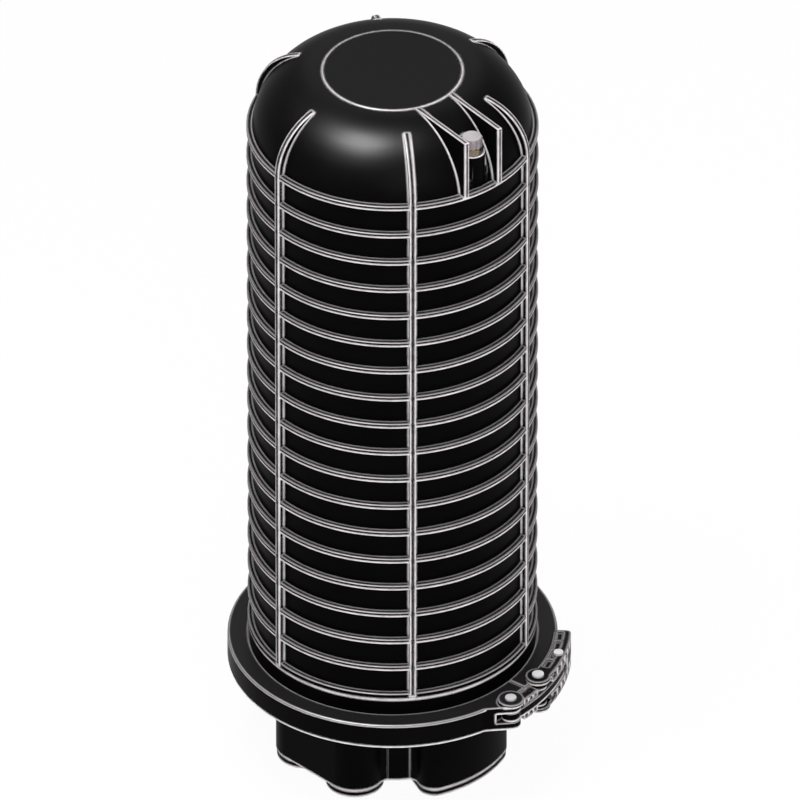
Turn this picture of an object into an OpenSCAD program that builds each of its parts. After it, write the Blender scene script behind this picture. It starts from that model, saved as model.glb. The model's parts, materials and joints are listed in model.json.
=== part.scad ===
// Dome splice closure: a ribbed dome, clamped by a latched hoop to a base with cable ports,
// over a bracket that carries a stack of splice trays.
// Frame: the axis is Z, the closure stands on z = 0, and the oval port faces +X.

/* [Overall] */
// Height from the resting plane to the dome's flat top
total_h = 466.5; // [400:1:560]
// Height of the joint plane between the base and the dome
joint_z = 63.5; // [56:0.5:80]
// Running gap between pieces that only lie side by side
side_gap = 0.3; // [0.2:0.05:0.5]
// Radial clearance of a pin that turns in its hole
pin_gap = 0.06; // [0.03:0.01:0.09]

/* [Dome] */
// Outer radius of the dome's plain wall
dome_r = 80.8; // [76:0.2:86]
// Wall thickness of the dome
dome_t = 3; // [2.4:0.2:4]
// Radius of the flat disc on top
top_r = 40.5; // [30:0.5:50]
// How far the disc is raised above the shoulder
top_step = 0.4; // [0.2:0.1:1]
// How far the rings and ribs stand out of the wall
rib_h = 3.4; // [2.6:0.2:5]
// How far the ribs stand proud of the rings
rib_proud = 0.4; // [0.2:0.1:1]
// Number of rings round the wall
ring_count = 18; // [6:1:20]
// Distance from the foot ring to the lowest ring
ring_first = 16.5; // [10:0.5:24]
// How far the highest ring's lower face stands above the start of the shoulder
ring_up = 0.4; // [-2:0.1:2]
// Thickness of a ring
ring_t = 3; // [1.6:0.2:4]
// Number of upright ribs
rib_count = 6; // [4:1:12]
// Thickness of an upright rib
rib_t = 3.5; // [2:0.1:5]
// Angle of the first upright rib
rib_phase = -37; // [-60:0.5:0]
// Height of the thick ring at the dome's foot
foot_ring_h = 4.2; // [3:0.2:8]
// Height of the plain collar between the joint plane and the foot ring
collar_h = 18; // [14:0.5:24]

/* [Valve guard] */
// Angle of the valve and its guard plates
guard_a = -6.8; // [-15:0.2:5]
// Distance between the middles of the two guard plates
guard_gap = 24; // [20:0.5:32]
// Thickness of a guard plate
guard_t = 3; // [2:0.2:4]
// Distance of the valve's middle inside the dome's plain wall
valve_in = 7.2; // [5:0.2:10]
// Radius of the valve's boss
valve_boss_r = 7.5; // [6.5:0.1:9]
// Height of the boss's seat below the dome's top
valve_drop = 16; // [14:0.5:20]
// Radius of the valve's threaded shank
valve_shank_r = 4; // [3:0.1:5]
// Radius of the valve's cap
valve_cap_r = 6; // [5.4:0.1:7]

/* [Base] */
// Thickness of the base's plate
plate_t = 8; // [7:0.5:10]
// Distance of the base's core inside the dome's plain wall, between the port lobes
core_in = 23.8; // [20:0.2:27]
// Wall thickness of the port tubes and the skirt
port_wall = 3.4; // [2.6:0.2:4]
// Bore radius of a round port
port_r = 14; // [11:0.5:14.5]
// Distance of the round ports' middles inside the dome's plain wall
port_in = 26; // [24:0.2:29]
// Half the angle between the two ports of a pair
port_half_a = 21.5; // [20:0.5:23]
// Distance of the oval port's inside from the dome's plain wall
oval_in = 12.9; // [11:0.1:16]
// Radial width of the oval port's inside
oval_w = 24; // [18:1:26]
// Half the angle between the oval port's ends
oval_half_a = 21.7; // [16:0.1:22]
// Corner radius of the oval port's inside
oval_corner = 6.7; // [4:0.1:8]
// Height of the recessed band at the port rims
rim_h = 4.8; // [2:0.1:8]
// Depth of the recessed band
rim_step = 0.5; // [0.3:0.1:1]
// Radius of the centre boss that the closure stands on
boss_r = 12; // [8:1:16]
// Thickness of the webs under the plate
web_t = 3; // [2:0.2:4]
// How far the middle of the seal lies outside the dome's plain wall
seal_out = 0.2; // [-0.6:0.1:0.6]
// Width of the seal
seal_w = 4; // [3:0.2:4.4]
// Height of the seal when it is squeezed
seal_h = 3.6; // [3:0.2:4.2]

/* [Clamp hoop] */
// Thickness of the hoop outside the flanges
hoop_wall = 5.3; // [4.5:0.1:7]
// Height of the hoop
hoop_h = 16; // [14:0.5:20]
// How far the flanges that the hoop grips stand out of the dome's plain wall
flange_out = 9.7; // [8.4:0.1:11.6]
// Thickness of a flange next to its collar
flange_t = 5.6; // [4.6:0.1:6]
// Angle of the flange's outer face
flange_slope = 9.3; // [5:0.1:15]
// Angle of the split in the hoop
split_a = 8.3; // [7.5:0.1:9]
// Width of the split
split_w = 0.8; // [0.4:0.1:1.2]

/* [Latch] */
// How far the catch pin on the hoop's first end stands outside the hoop
catch_out = 3; // [2.4:0.1:4]
// Angle of the catch pin
catch_a = -1.2; // [-2:0.1:0]
// How far the fulcrum pin on the hoop's second end stands outside the hoop
fulcrum_out = 1.8; // [1.6:0.1:2.6]
// Angle of the fulcrum pin
fulcrum_a = 14.6; // [14:0.1:16]
// How far the pin between the lever and its link stands outside the hoop
link_out = 4.2; // [3.8:0.1:4.6]
// Angle of the link pin
link_a = 29; // [28:0.1:30]
// Angle between the catch pin and the start of its lug
lug_a = 10.8; // [9:0.1:14]
// Angle between the catch pin and the end of the lug's window
window_a = 6.1; // [5:0.1:8]
// Angle by which the claw's mouth is turned towards its way out
mouth_a = 14; // [8:0.5:18]
// Radius of the catch pin
catch_pin_r = 2.3; // [1.8:0.1:2.6]
// Radius of the fulcrum pin
fulcrum_pin_r = 2.2; // [1.8:0.1:2.4]
// Radius of the link pin
link_pin_r = 1.8; // [1.4:0.1:2]
// Radius of the catch's knuckles
catch_knuckle_r = 5.8; // [5:0.1:6.2]
// Radius of the disc on top of the catch
catch_head_r = 7.7; // [6.5:0.1:8.5]
// Radius of the fulcrum's knuckles
fulcrum_knuckle_r = 5.2; // [4.4:0.1:5.4]
// Radius of the lever's round ears over the fulcrum
fulcrum_ear_r = 7.2; // [6:0.1:8]
// Height of the gap between the knuckles, where the link runs
fork_gap = 6.4; // [4.6:0.1:7]
// Thickness of the lever's upper and lower plates
ear_t = 2.7; // [2:0.1:3.5]
// How far the lever stands outside the hoop
lever_out = 7.9; // [7.7:0.1:10]
// Angle at which the lever's grip ends
lever_end_a = 42.5; // [39:0.5:46]
// How far the lever's corners are cut at the grip's end
grip_cut = 2.2; // [1:0.1:3]
// Thickness of the walls between the moulded pockets
pocket_wall = 1.5; // [1.2:0.1:2]
// Number of pockets in a row of the lever
pocket_count = 6; // [3:1:8]
// Depth of the pockets that are cored from outside
pocket_d = 3.4; // [2.4:0.2:4]
// Depth of the pockets in the lever's upper face
top_pocket_d = 1.4; // [0.8:0.1:1.8]
// Number of pockets in the lever's upper face
top_pocket_count = 4; // [2:1:6]

/* [Trays] */
// Number of splice trays is four; this is the distance from one to the next
tray_pitch = 11; // [10:0.5:11.5]
// Width of a tray
tray_w = 100; // [80:1:104]
// Length of a tray
tray_l = 236; // [180:1:250]
// Depth of a tray
tray_d = 10; // [8:0.5:10]
// Wall thickness of a tray
tray_t = 1.6; // [1.2:0.1:2]
// Height of the trays' lower edge above the joint plane
tray_lift = 34; // [32:1:60]
// Corner radius of a tray
tray_corner = 18; // [8:1:24]
// Radius of a tray's spools
spool_r = 30; // [24:1:34]
// Distance of a spool's middle from the tray's end
spool_end = 56; // [50:1:70]
// Length of the splice comb
comb_l = 44; // [30:1:50]
// Thickness of the bracket's steel sheet
sheet_t = 2; // [1.5:0.1:2.5]
// Clearance between the trays' hinge block and the earth stud's nut
block_gap = 1.3; // [0.8:0.1:3]
// Width of the bracket's upright
bracket_w = 66; // [60:1:70]
// Depth of the side flanges behind the bracket's upright
bracket_d = 10; // [8:0.5:12]
// Width of the bracket's openings for the fibre tubes
tube_slot_w = 36; // [20:1:40]
// Height of the bracket's openings for the fibre tubes
tube_slot_h = 24; // [12:1:30]
// Length of the bracket's foot
foot_l = 46; // [40:1:50]
// Width of the basket for spare fibre
basket_w = 84; // [70:1:90]
// Height of the basket
basket_h = 150; // [100:5:220]
// Distance of the cable anchors inside the dome's plain wall
anchor_in = 18.8; // [17:0.1:21]

/* [Earth stud] */
// Distance of the stud's middle inside the oval port's inner wall
stud_in = 9.5; // [9:0.1:12]
// Radius of the stud's body, which runs through the plate
stud_r = 5; // [4:0.1:5.5]
// Radius of the stud's outer tail, which takes the earth wire's lug
tail_r = 4; // [3:0.1:4]
// Length of the tail
tail_l = 15.5; // [10:0.5:18]
// Radius over the nuts' corners
nut_r = 8.5; // [8:0.1:9]
// Height of a nut
nut_h = 6.5; // [5:0.1:7]

/* [Hidden] */
$fn = 96;
eps = 0.01;
flange_r = dome_r + flange_out;
hoop_r = flange_r + hoop_wall;
lever_r = hoop_r + lever_out;
past_r = lever_r + 6;
catch_at = [hoop_r + catch_out, catch_a];
fulcrum_at = [hoop_r + fulcrum_out, fulcrum_a];
link_at = [hoop_r + link_out, link_a];
seal_r = dome_r + seal_out;
core_r = dome_r - core_in;
port_at = dome_r - port_in;
oval_r = dome_r - oval_in;
valve_r = dome_r - valve_in;
anchor_r = dome_r - anchor_in;
stud_x = oval_r - oval_w - port_wall - stud_in;
hoop_z = joint_z - hoop_h / 2;
hoop_top = joint_z + hoop_h / 2;
plate_z = joint_z - plate_t;
collar_r = dome_r + rib_h - 1;
hoop_lip_r = collar_r + 2 * side_gap;
rib_r = dome_r + rib_h + rib_proud / 2;
ring_r = dome_r + rib_h - rib_proud / 2;
cap_r = dome_r - top_r;
shoulder_z = total_h - top_step - cap_r;
top_ring_z = shoulder_z + ring_up;
foot_z = joint_z + collar_h;
ring_pitch = (top_ring_z - foot_z - foot_ring_h - ring_first) / (ring_count - 1);
guard_z = top_ring_z + ring_t / 2;
fin_r = 35.4;
fin_tip_h = 3.7;
port_outer_r = port_r + port_wall;
port_angles = [for (a = [-90, 90, 180]) for (s = [-1, 1]) a + s * port_half_a];
valve_seat = total_h - valve_drop;
washer_t = 0.8;
hex_h = 3;
cap_seat = valve_seat + washer_t + hex_h + side_gap;
cap_h = 6;
neck_h = 3.4;
seat_t = 6;
shank_l = seat_t + 1;
link_h = fork_gap - 0.8;
knuckle_low = joint_z - fork_gap / 2;
knuckle_high = joint_z + fork_gap / 2;
ear_low = hoop_z - side_gap - ear_t;
ear_high = hoop_top + side_gap;
lever_top = ear_high + ear_t;
catch_head_t = 2.4;
catch_hole_r = catch_pin_r + 0.5;
claw_mouth = catch_pin_r + 0.35;
claw_r = catch_knuckle_r - 0.2;
pin_head_t = 1.2;
block_l = 4 * tray_pitch + 1;
block_back = 1.8;
tray_x = stud_x - nut_r - block_gap - block_l + block_back;
bracket_x = tray_x - sheet_t - 2;
tray_z = joint_z + tray_lift;
hinge_r = 2.2;
hinge_z = tray_z - 6;
anchor_angles = [45, 135, -135, -45];
anchor_h = 14;
anchor_screw_r = 2;
foot_screw_r = 2.4;
foot_screw_y = bracket_w / 2 - 9;
foot_screws = [for (x = [8, foot_l - 8]) for (s = [-1, 1]) [bracket_x + x, s * foot_screw_y]];

// A point from a radius and an angle
function polar(p) = [p[0] * cos(p[1]), p[0] * sin(p[1])];
// Points along an arc, as seen from its centre
function arc(c, r, a0, a1, n) = [for (i = [0:n]) c + polar([r, a0 + (a1 - a0) * i / n])];

// A slice of a ring between two angles
module sector_outline(r_in, r_out, a0, a1) {
  steps = ceil((a1 - a0) / 1.5);
  polygon(concat(arc([0, 0], r_out, a0, a1, steps), arc([0, 0], r_in, a1, a0, steps)));
}

module sector(r_in, r_out, a0, a1, z0, z1)
  translate([0, 0, z0])
    linear_extrude(z1 - z0)
      sector_outline(r_in, r_out, a0, a1);

// A round pillar between two heights
module pillar(r, z0, z1, at = [0, 0])
  translate([at[0], at[1], z0])
    cylinder(r = r, h = z1 - z0);

// ---- Base -------------------------------------------------------------------

// Two round ports side by side, with a flat face between them
module port_pair_outline(a, inset) {
  rotate(a) {
    for (s = [-1, 1])
      translate(polar([port_at, s * port_half_a]))
        circle(r = port_outer_r - inset);
    half = port_at * sin(port_half_a);
    translate([0, -half])
      square([port_at * cos(port_half_a) + port_outer_r - inset, 2 * half]);
  }
}

// A kidney round the axis: the oval port, grown by a margin
module kidney(grow) {
  r_in = oval_r - oval_w - grow;
  r_out = oval_r + grow;
  corner = oval_corner + grow;
  end = [for (s = [-1, 1]) s * oval_half_a];
  polygon(concat(
    arc([0, 0], r_out, end[0], end[1], 14),
    arc(polar([r_out - corner, end[1]]), corner, end[1], end[1] + 90, 7),
    arc(polar([r_in + corner, end[1]]), corner, end[1] + 90, end[1] + 180, 7),
    arc([0, 0], r_in, end[1], end[0], 10),
    arc(polar([r_in + corner, end[0]]), corner, end[0] + 180, end[0] + 270, 7),
    arc(polar([r_out - corner, end[0]]), corner, end[0] + 270, end[0] + 360, 7)
  ));
}

// The skirt's outline, pulled in by an inset
module base_outline(inset = 0) {
  circle(r = core_r - inset);
  for (a = [-90, 90, 180])
    port_pair_outline(a, inset);
  kidney(port_wall - inset);
}

// The tapered flange that the hoop grips, above or below the joint plane
module flange_profile(side) {
  edge_t = flange_t - (flange_r - collar_r) * tan(flange_slope);
  polygon([
    [collar_r - 2, 0], [flange_r, 0],
    [flange_r, side * edge_t], [collar_r - 2, side * (flange_t + 2 * tan(flange_slope))]
  ]);
}

module seal_groove()
  translate([0, 0, joint_z - seal_h])
    rotate_extrude()
      translate([seal_r - seal_w / 2 - 0.1, 0])
        square([seal_w + 0.2, seal_h + 1]);

module base()
  color([0.07, 0.07, 0.075])
    difference() {
      union() {
        pillar(collar_r, plate_z, joint_z);
        translate([0, 0, joint_z])
          rotate_extrude()
            flange_profile(-1);
        // Skirt between and round the ports
        translate([0, 0, rim_h])
          linear_extrude(plate_z - rim_h + 1)
            difference() {
              base_outline();
              base_outline(port_wall);
            }
        // Tubes, which reach down to the rim
        for (a = port_angles) {
          pillar(port_outer_r, rim_h, plate_z + 1, polar([port_at, a]));
          pillar(port_outer_r - rim_step, 0, rim_h + 1, polar([port_at, a]));
        }
        translate([0, 0, rim_h])
          linear_extrude(plate_z - rim_h + 1)
            kidney(port_wall);
        linear_extrude(rim_h + 1)
          kidney(port_wall - rim_step);
        // Centre boss and its webs
        pillar(boss_r, 0, plate_z + 1);
        for (a = [45:90:315])
          rotate([0, 0, a])
            translate([0, -web_t / 2, plate_z / 2])
              cube([core_r - port_wall / 2, web_t, plate_z / 2 + 1]);
        // Posts for the cable anchors
        for (a = anchor_angles)
          pillar(6, joint_z - 1, joint_z + anchor_h, polar([anchor_r, a]));
      }
      for (a = port_angles)
        pillar(port_r, -1, joint_z + 1, polar([port_at, a]));
      translate([0, 0, -1])
        linear_extrude(joint_z + 2)
          kidney(0);
      seal_groove();
      for (a = anchor_angles)
        pillar(anchor_screw_r + 0.05, joint_z + 2, joint_z + anchor_h + 1, polar([anchor_r, a]));
      for (p = foot_screws)
        pillar(foot_screw_r + 0.05, joint_z - 6, joint_z + 1, p);
      pillar(stud_r + 0.1, plate_z - 1, joint_z + 1, [stud_x, 0]);
    }

module base_seal()
  color([0.2, 0.2, 0.21])
    translate([0, 0, joint_z - seal_h])
      rotate_extrude()
        translate([seal_r, 0])
          polygon([
            [-seal_w / 2 + 0.6, 0], [seal_w / 2 - 0.6, 0], [seal_w / 2, 0.6],
            [seal_w / 2, seal_h - 0.6], [seal_w / 2 - 0.6, seal_h],
            [-seal_w / 2 + 0.6, seal_h], [-seal_w / 2, seal_h - 0.6], [-seal_w / 2, 0.6]
          ]);

// Round rubber bung inside an unused port
module port_plug(i)
  color([0.16, 0.16, 0.17])
    difference() {
      union() {
        pillar(port_r - 0.05, rim_h, rim_h + 24, polar([port_at, port_angles[i]]));
        pillar(port_r - 2, rim_h + 24 - eps, rim_h + 27, polar([port_at, port_angles[i]]));
      }
      pillar(port_r - 4, rim_h - 1, rim_h + 14, polar([port_at, port_angles[i]]));
    }

// ---- Dome -------------------------------------------------------------------

// Outline of the solid dome, which the cavity is then cut from
module dome_profile() {
  polygon(concat(
    [[0, joint_z], [collar_r, joint_z], [collar_r, foot_z], [dome_r, foot_z]],
    arc([top_r, shoulder_z], cap_r, 0, 90, 18),
    [[top_r, total_h], [0, total_h]]
  ));
  translate([dome_r - 1, foot_z])
    square([ring_r - dome_r + 1, foot_ring_h]);
  for (k = [0:ring_count - 1])
    translate([dome_r - 1, top_ring_z - k * ring_pitch])
      square([ring_r - dome_r + 1, ring_t]);
}

module cavity_profile()
  polygon(concat(
    [[0, joint_z - 1], [dome_r - dome_t, joint_z - 1]],
    arc([top_r, shoulder_z], cap_r - dome_t, 0, 90, 12),
    [[0, total_h - top_step - dome_t]]
  ));

// One upright rib and the fin that carries it over the shoulder
module rib() {
  fin_c = [rib_r - fin_r, total_h - 38];
  tip_a = acos((total_h - fin_tip_h - fin_c[1]) / fin_r);
  rotate([90, 0, 0])
    translate([0, 0, -rib_t / 2])
      linear_extrude(rib_t)
        polygon(concat(
          [[dome_r - 2, foot_z + foot_ring_h / 2], [rib_r, foot_z + foot_ring_h / 2]],
          arc(fin_c, fin_r, 0, 90 - tip_a, 12),
          arc([top_r, shoulder_z], cap_r - 1.5, 64, 0, 8)
        ));
}

// A guard plate beside the valve, square outside and rooted in the shoulder
module guard_plate(side)
  translate([top_r - guard_t, side * guard_gap / 2 - guard_t / 2, guard_z])
    cube([rib_r - top_r + guard_t, guard_t, total_h - top_step / 2 - guard_z]);

module at_valve()
  rotate([0, 0, guard_a])
    translate([valve_r, 0, 0])
      children();

module dome()
  color([0.06, 0.06, 0.065])
    difference() {
      union() {
        rotate_extrude()
          dome_profile();
        translate([0, 0, joint_z])
          rotate_extrude()
            flange_profile(1);
        for (k = [0:rib_count - 1])
          rotate([0, 0, rib_phase + k * 360 / rib_count])
            rib();
        rotate([0, 0, guard_a]) {
          guard_plate(-1);
          guard_plate(1);
          pillar(valve_boss_r, guard_z, valve_seat + 1, [valve_r, 0]);
        }
      }
      // The cavity leaves a boss inside the shoulder, under the valve's seat
      difference() {
        rotate_extrude()
          cavity_profile();
        at_valve()
          pillar(valve_boss_r + 2, valve_seat - seat_t, total_h);
      }
      at_valve() {
        pillar(valve_boss_r + 0.5, valve_seat, total_h + 1);
        pillar(valve_shank_r + 0.05, valve_seat - shank_l - 1, total_h);
      }
    }

// ---- Valve ------------------------------------------------------------------

module valve_body()
  color([0.72, 0.56, 0.3])
    at_valve()
      difference() {
        union() {
          pillar(valve_shank_r, valve_seat - shank_l, valve_seat + washer_t + eps);
          translate([0, 0, valve_seat + washer_t])
            cylinder(r = 6.6, h = hex_h, $fn = 6);
          pillar(valve_shank_r - 0.2, valve_seat + washer_t, cap_seat + neck_h);
        }
        pillar(2.1, valve_seat - shank_l - 1, total_h);
      }

module valve_washer()
  color([0.12, 0.12, 0.12])
    at_valve()
      difference() {
        pillar(6.4, valve_seat, valve_seat + washer_t);
        pillar(valve_shank_r + 0.05, valve_seat - 1, valve_seat + 2);
      }

module valve_core()
  color([0.75, 0.74, 0.7])
    at_valve() {
      pillar(2.05, valve_seat - shank_l + 2, cap_seat + neck_h - 1);
      pillar(0.8, cap_seat + neck_h - 1 - eps, cap_seat + neck_h - 0.2);
    }

module valve_cap()
  color([0.78, 0.66, 0.6])
    at_valve()
      difference() {
        union() {
          pillar(valve_cap_r - 0.6, cap_seat, cap_seat + cap_h);
          for (k = [0:11])
            rotate([0, 0, 30 * k])
              translate([valve_cap_r - 1, -0.9, cap_seat])
                cube([1, 1.8, cap_h - 0.8]);
        }
        pillar(valve_shank_r - 0.2 + pin_gap, cap_seat - 1, cap_seat + neck_h + 0.6);
      }

// ---- Clamp hoop and latch -----------------------------------------------------

// The hoop's section, a shallow V that draws the two flanges together
module hoop_profile() {
  floor_r = flange_r + 1;
  lip = flange_t + side_gap;
  mouth = lip - (floor_r - hoop_lip_r) * tan(flange_slope);
  edge = 0.8;
  translate([0, joint_z])
    polygon([
      [hoop_lip_r, lip], [hoop_lip_r, hoop_h / 2], [hoop_r - edge, hoop_h / 2],
      [hoop_r, hoop_h / 2 - edge], [hoop_r, edge - hoop_h / 2],
      [hoop_r - edge, -hoop_h / 2], [hoop_lip_r, -hoop_h / 2], [hoop_lip_r, -lip],
      [floor_r, -mouth], [floor_r, mouth]
    ]);
}

// The wedge that ties the catch's knuckles to the hoop, tangent to them
module catch_lug_outline() {
  centre = polar(catch_at);
  start = polar([hoop_r - 1.4, catch_a - lug_a]);
  away = centre - start;
  line_a = atan2(away[1], away[0]) - asin(catch_knuckle_r / norm(away));
  polygon([start, centre + polar([catch_knuckle_r, line_a - 90]), centre,
           polar([hoop_r - 1.4, catch_a])]);
}

module clamp_hoop()
  color([0.09, 0.09, 0.095])
    difference() {
      union() {
        rotate_extrude()
          hoop_profile();
        translate([0, 0, hoop_z])
          linear_extrude(hoop_h)
            catch_lug_outline();
        pillar(catch_knuckle_r, hoop_z, hoop_top, polar(catch_at));
        pillar(catch_head_r, hoop_top - eps, hoop_top + catch_head_t, polar(catch_at));
        pillar(fulcrum_knuckle_r, hoop_z, hoop_top, polar(fulcrum_at));
      }
      // Room for the flanges inside the knuckles
      pillar(flange_r + 1, hoop_z + 3, hoop_top - 3);
      pillar(hoop_lip_r, hoop_z - 1, hoop_top + 4);
      // The fork gaps where the link runs, outside the band
      difference() {
        sector(hoop_r - 3, past_r, catch_a - window_a, fulcrum_a + 5, knuckle_low, knuckle_high);
        pillar(hoop_r + 0.02, knuckle_low - 1, knuckle_high + 1);
      }
      // The split
      rotate([0, 0, split_a])
        translate([hoop_lip_r - 5, -split_w / 2, hoop_z - 1])
          cube([past_r - hoop_lip_r, split_w, hoop_h + 2]);
      pillar(catch_pin_r + 0.04, hoop_z - 1, hoop_top + 5, polar(catch_at));
      pillar(fulcrum_pin_r + 0.04, hoop_z - 1, hoop_top + 1, polar(fulcrum_at));
    }

module catch_pin()
  color([0.6, 0.6, 0.62]) {
    pillar(catch_pin_r, hoop_z, hoop_top + catch_head_t + eps, polar(catch_at));
    pillar(catch_pin_r + 0.9, hoop_top + catch_head_t, hoop_top + catch_head_t + 1, polar(catch_at));
  }

module fulcrum_pin()
  color([0.6, 0.6, 0.62]) {
    pillar(fulcrum_pin_r, ear_low - 0.15, lever_top + 0.15, polar(fulcrum_at));
    for (z = [ear_low - 0.15 - pin_head_t, lever_top + 0.15 - eps])
      pillar(fulcrum_pin_r + 1.2, z, z + pin_head_t + eps, polar(fulcrum_at));
  }

module link_pin()
  color([0.6, 0.6, 0.62]) {
    pillar(link_pin_r, ear_low - eps, lever_top + eps, polar(link_at));
    for (z = [ear_low - pin_head_t, lever_top])
      pillar(link_pin_r + 1, z, z + pin_head_t, polar(link_at));
  }

// A row of pockets, cored from outside between two angles and two heights
module pocket_row(a0, a1, count, r_in, z0, z1) {
  step = (a1 - a0) / count;
  rim_a = pocket_wall / lever_r * 90 / PI;
  for (k = [0:count - 1])
    sector(r_in, past_r, a0 + k * step + rim_a, a0 + (k + 1) * step - rim_a, z0, z1);
}

// The row of pockets in the lever's upper face, between the hoop's edge and the outer pockets
module top_pockets() {
  first_a = fulcrum_a + 5.2;
  step = (lever_end_a - 0.5 - first_a) / top_pocket_count;
  rim_a = pocket_wall / lever_r * 90 / PI;
  for (k = [0:top_pocket_count - 1])
    sector(hoop_r - 2 + pocket_wall, lever_r - pocket_d - 0.9, first_a + k * step + rim_a,
           first_a + (k + 1) * step - rim_a, lever_top - top_pocket_d, lever_top + 1);
}

// The lever's outline, with the corners cut at the grip's end
module lever_outline() {
  cut_a = grip_cut / lever_r * 180 / PI;
  polygon(concat(
    arc([0, 0], lever_r, fulcrum_a, lever_end_a - cut_a, 18),
    [polar([lever_r - grip_cut * 0.3, lever_end_a - cut_a * 0.3])],
    [polar([lever_r - grip_cut, lever_end_a]), polar([hoop_r - 2 + grip_cut, lever_end_a])],
    arc([0, 0], hoop_r - 2, lever_end_a - cut_a, fulcrum_a, 16)
  ));
}

// The lever: two plates over and under the hoop, joined by a grip cored from outside
module latch_lever() {
  grip_a = fulcrum_a + 4.3;
  slot_low = knuckle_low - side_gap;
  slot_high = knuckle_high + side_gap;
  slot_end_a = link_a + 4.2;
  color([0.08, 0.08, 0.085])
    difference() {
      union() {
        difference() {
          translate([0, 0, ear_low])
            linear_extrude(lever_top - ear_low) {
              lever_outline();
              translate(polar(fulcrum_at))
                circle(r = fulcrum_ear_r);
            }
          for (z = [[ear_low + pocket_wall, slot_low - pocket_wall],
                    [slot_high + pocket_wall, lever_top - pocket_wall]])
            pocket_row(grip_a, lever_end_a - 1.2, pocket_count, lever_r - pocket_d, z[0], z[1]);
          top_pockets();
        }
        pillar(link_pin_r + 1.2, ear_low + eps, lever_top - eps, polar(link_at));
      }
      // Room for the hoop and its knuckles, and the slot that the link swings in
      translate([0, 0, hoop_z - side_gap])
        linear_extrude(hoop_h + 2 * side_gap) {
          circle(r = hoop_r + 0.8);
          sector_outline(flange_r, past_r, fulcrum_a - 8, grip_a);
        }
      sector(flange_r, past_r, grip_a - 1, slot_end_a, slot_low, slot_high);
      pillar(fulcrum_pin_r + pin_gap, ear_low - 1, lever_top + 1, polar(fulcrum_at));
      pillar(link_pin_r + 0.03, ear_low - 1, lever_top + 1, polar(link_at));
    }
}

// The link: a claw at the catch, a cored body beside it, and a bow that passes outside the fulcrum
module latch_link() {
  low = joint_z - link_h / 2;
  high = joint_z + link_h / 2;
  body_low = hoop_z + 0.6;
  body_high = hoop_top - 0.6;
  body_a = [catch_a + 4.5, fulcrum_a - 4.2];
  body_r = lever_r - 1.3;
  bow_r = lever_r - side_gap;
  color([0.1, 0.1, 0.105])
    difference() {
      union() {
        translate([0, 0, low])
          linear_extrude(link_h) {
            translate(polar(catch_at))
              circle(r = claw_r);
            sector_outline(catch_at[0] - 1, bow_r, catch_a, link_a);
            translate(polar(link_at))
              circle(r = link_pin_r + 1.4);
          }
        difference() {
          sector(hoop_r + 0.6, body_r, body_a[0], body_a[1], body_low, body_high);
          for (z = [[body_low + 1.2, low - 0.8], [high + 0.8, body_high - 1.2]])
            pocket_row(body_a[0], body_a[1], 3, hoop_r + 2.4, z[0], z[1]);
        }
      }
      // Room for the fulcrum pin, inside the bow
      sector(flange_r, fulcrum_at[0] + fulcrum_pin_r + 0.5, body_a[1] - 0.5, link_a - 2.4,
             low - 1, high + 1);
      sector(flange_r, link_at[0] - 3, link_a - 3, link_a + 4, low - 1, high + 1);
      // The claw's mouth, open towards the hoop
      pillar(hoop_r + 0.4, low - 1, high + 1);
      pillar(catch_hole_r, low - 1, high + 1, polar(catch_at));
      translate(polar(catch_at))
        rotate([0, 0, catch_a + mouth_a])
          translate([-20, -claw_mouth, low - 1])
            cube([20, 2 * claw_mouth, link_h + 2]);
      pillar(link_pin_r + pin_gap, low - 1, high + 1, polar(link_at));
    }
}

// ---- Bracket, trays and cable hardware ------------------------------------------

module tray_bracket()
  color([0.7, 0.71, 0.73])
    difference() {
      union() {
        translate([bracket_x, -bracket_w / 2, joint_z])
          cube([sheet_t, bracket_w, tray_lift + tray_l + 20]);
        translate([bracket_x, -bracket_w / 2, joint_z])
          cube([foot_l, bracket_w, sheet_t]);
        // Side flanges that stiffen the upright
        for (s = [-1, 1])
          translate([bracket_x - bracket_d, s * (bracket_w / 2 - sheet_t / 2) - sheet_t / 2, joint_z + 20])
            cube([bracket_d + sheet_t, sheet_t, tray_l + tray_lift]);
      }
      for (p = foot_screws)
        pillar(foot_screw_r + 0.2, joint_z - 1, joint_z + sheet_t + 1, p);
      // Openings for the fibre tubes
      for (k = [0:3])
        translate([bracket_x - 1, -tube_slot_w / 2, tray_z + 20 + k * 56])
          cube([sheet_t + 2, tube_slot_w, tube_slot_h]);
    }

module bracket_screws()
  color([0.75, 0.75, 0.77])
    for (p = foot_screws) {
      pillar(foot_screw_r, joint_z - 5.5, joint_z + sheet_t + eps, p);
      pillar(4.2, joint_z + sheet_t, joint_z + sheet_t + 2.6, p);
    }

// Stepped block that carries the trays' hinge bars
module hinge_block()
  color([0.85, 0.86, 0.84])
    difference() {
      union() {
        translate([tray_x - block_back, -15, joint_z + sheet_t])
          cube([block_l, 30, 10]);
        for (s = [-1, 1])
          translate([tray_x - block_back, s * 13.5 - 1.5, joint_z + sheet_t])
            cube([block_l, 3, hinge_z + hinge_r + 2 - joint_z - sheet_t]);
        for (k = [0:3])
          translate([tray_x + tray_d / 2 + k * tray_pitch, 0, hinge_z])
            rotate([90, 0, 0])
              translate([0, 0, -14])
                cylinder(r = hinge_r, h = 28);
      }
      translate([tray_x + 6, -10, joint_z + sheet_t - 1])
        cube([4 * tray_pitch - 15, 20, 7]);
    }

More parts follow.
